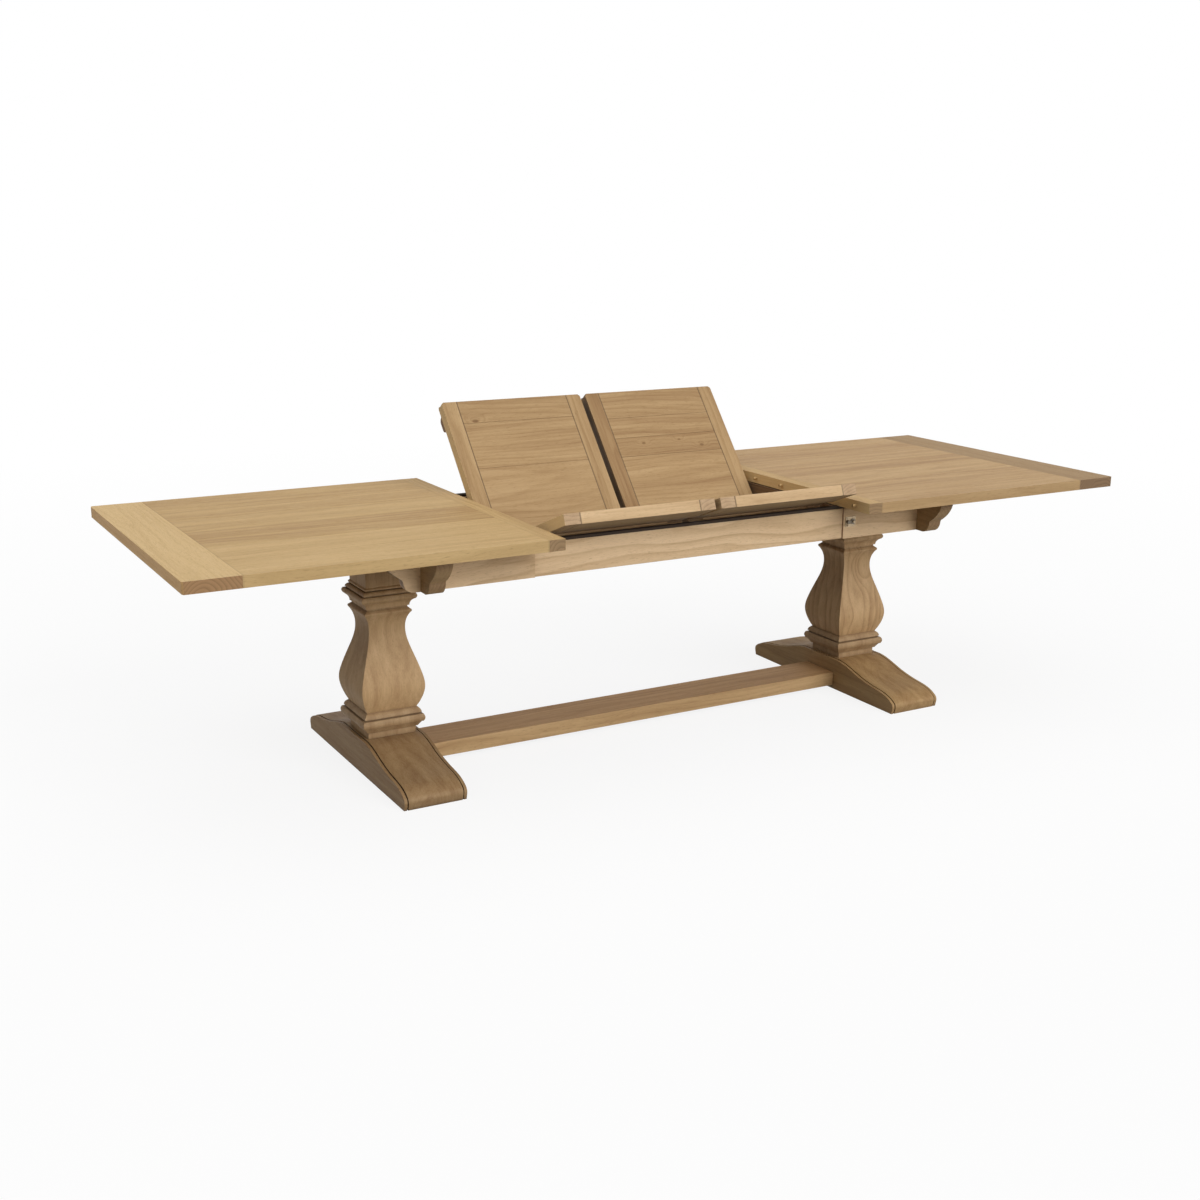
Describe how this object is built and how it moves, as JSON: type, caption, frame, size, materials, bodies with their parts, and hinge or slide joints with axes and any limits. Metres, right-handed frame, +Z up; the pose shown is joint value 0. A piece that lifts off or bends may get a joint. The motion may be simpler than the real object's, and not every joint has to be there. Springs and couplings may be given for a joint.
{
  "type": "extending pedestal dining table",
  "caption": "Extending dining table on vase pedestals with sled feet and a low stretcher; the tops slide apart on runners and hinged butterfly leaves fold up between them.",
  "frame": {"origin": "on the floor at the middle of the table's length and width", "axes": "+X along the table towards the end with the latch and pegs, -Y the front, +Z up"},
  "size_m": [3.159, 1.045, 1.03],
  "materials": {
    "oak_top": "satin lacquer",
    "oak_base": "satin lacquer",
    "beech_pegs": "plain",
    "dark_steel": "semi-matt black",
    "zinc_steel": "zinc plated",
    "brass": "satin"
  },
  "bodies": {
    "base": {"apron_front_left": "oak_base", "apron_front_middle": "oak_base", "apron_front_right": "oak_base", "apron_rear_left": "oak_base", "apron_rear_middle": "oak_base", "apron_rear_right": "oak_base", "baluster_left": "oak_base", "baluster_right": "oak_base", "bearer_left": "oak_base", "bearer_right": "oak_base", "capital_left": "oak_base", "capital_right": "oak_base", "centre_bracket": "zinc_steel", "collar_left": "oak_base", "collar_right": "oak_base", "cross_rail_left": "oak_base", "cross_rail_right": "oak_base", "foot_left": "oak_base", "foot_right": "oak_base", "latch_plate": "zinc_steel", "pivot_rod": "zinc_steel", "runner_front": "dark_steel", "runner_rear": "dark_steel", "stretcher": "oak_base", "tie_rod_left": "zinc_steel", "tie_rod_right": "zinc_steel"},
    "top_left": {"top_left_breadboard": "oak_top", "top_left_inner_strip": "oak_top", "top_left_panel": "oak_top", "top_left_slides": "dark_steel"},
    "top_right": {"top_right_breadboard": "oak_top", "top_right_inner_strip": "oak_top", "top_right_panel": "oak_top", "top_right_pegs": "beech_pegs", "top_right_slides": "dark_steel"},
    "latch": {"latch_lever": "dark_steel"},
    "leaf_left_carrier": {"leaf_left_pivot_tube": "zinc_steel"},
    "leaf_left_rear": {"leaf_left_pivot_arms": "zinc_steel", "leaf_left_rear_batten": "oak_top", "leaf_left_rear_hinge_plates": "brass", "leaf_left_rear_panel": "oak_top", "leaf_left_rear_strip_a": "oak_top", "leaf_left_rear_strip_b": "oak_top"},
    "leaf_left_front": {"leaf_left_front_batten": "oak_top", "leaf_left_front_hinge_plates": "brass", "leaf_left_front_panel": "oak_top", "leaf_left_front_strip_a": "oak_top", "leaf_left_front_strip_b": "oak_top"},
    "leaf_right_carrier": {"leaf_right_pivot_tube": "zinc_steel"},
    "leaf_right_rear": {"leaf_right_pivot_arms": "zinc_steel", "leaf_right_rear_batten": "oak_top", "leaf_right_rear_hinge_plates": "brass", "leaf_right_rear_panel": "oak_top", "leaf_right_rear_strip_a": "oak_top", "leaf_right_rear_strip_b": "oak_top"},
    "leaf_right_front": {"leaf_right_front_batten": "oak_top", "leaf_right_front_hinge_plates": "brass", "leaf_right_front_panel": "oak_top", "leaf_right_front_strip_a": "oak_top", "leaf_right_front_strip_b": "oak_top"}
  },
  "joints": [
    {"name": "top_left_slide", "type": "slide", "parent": "base", "child": "top_left", "axis": [1, 0, 0], "range_m": [0, 0.0289]},
    {"name": "leaf_left_shift", "type": "slide", "parent": "base", "child": "leaf_left_carrier", "axis": [1, 0, 0], "range_m": [0, 0.0098]},
    {"name": "leaf_left_pivot", "type": "hinge", "parent": "leaf_left_carrier", "child": "leaf_left_rear", "pos_m": [-0.26, 0.15001, 0.7134], "axis": [1, 0, 0], "range_deg": [-50, 38]},
    {"name": "leaf_left_fold", "type": "hinge", "parent": "leaf_left_rear", "child": "leaf_left_front", "pos_m": [-0.26, 0.01605, 0.62998], "axis": [1, 0, 0], "range_deg": [-54.2, 71.32]},
    {"name": "top_right_slide", "type": "slide", "parent": "base", "child": "top_right", "axis": [-1, 0, 0], "range_m": [0, 0.0289]},
    {"name": "leaf_right_shift", "type": "slide", "parent": "base", "child": "leaf_right_carrier", "axis": [-1, 0, 0], "range_m": [0, 0.0098]},
    {"name": "leaf_right_pivot", "type": "hinge", "parent": "leaf_right_carrier", "child": "leaf_right_rear", "pos_m": [0.26, 0.15001, 0.7134], "axis": [1, 0, 0], "range_deg": [-50, 38]},
    {"name": "leaf_right_fold", "type": "hinge", "parent": "leaf_right_rear", "child": "leaf_right_front", "pos_m": [0.26, 0.01605, 0.62998], "axis": [1, 0, 0], "range_deg": [-54.2, 71.32]},
    {"name": "latch_turn", "type": "hinge", "parent": "base", "child": "latch", "pos_m": [0.584, -0.38, 0.6759], "axis": [0, 1, 0], "range_deg": [0, 80]}
  ],
  "couplings": [
    {"joint": "leaf_left_shift", "follows": "top_left_slide", "ratio": 0.3391},
    {"joint": "leaf_left_fold", "follows": "leaf_left_pivot", "ratio": -1.4259},
    {"joint": "leaf_right_shift", "follows": "top_right_slide", "ratio": 0.3391},
    {"joint": "leaf_right_fold", "follows": "leaf_right_pivot", "ratio": -1.4259}
  ]
}
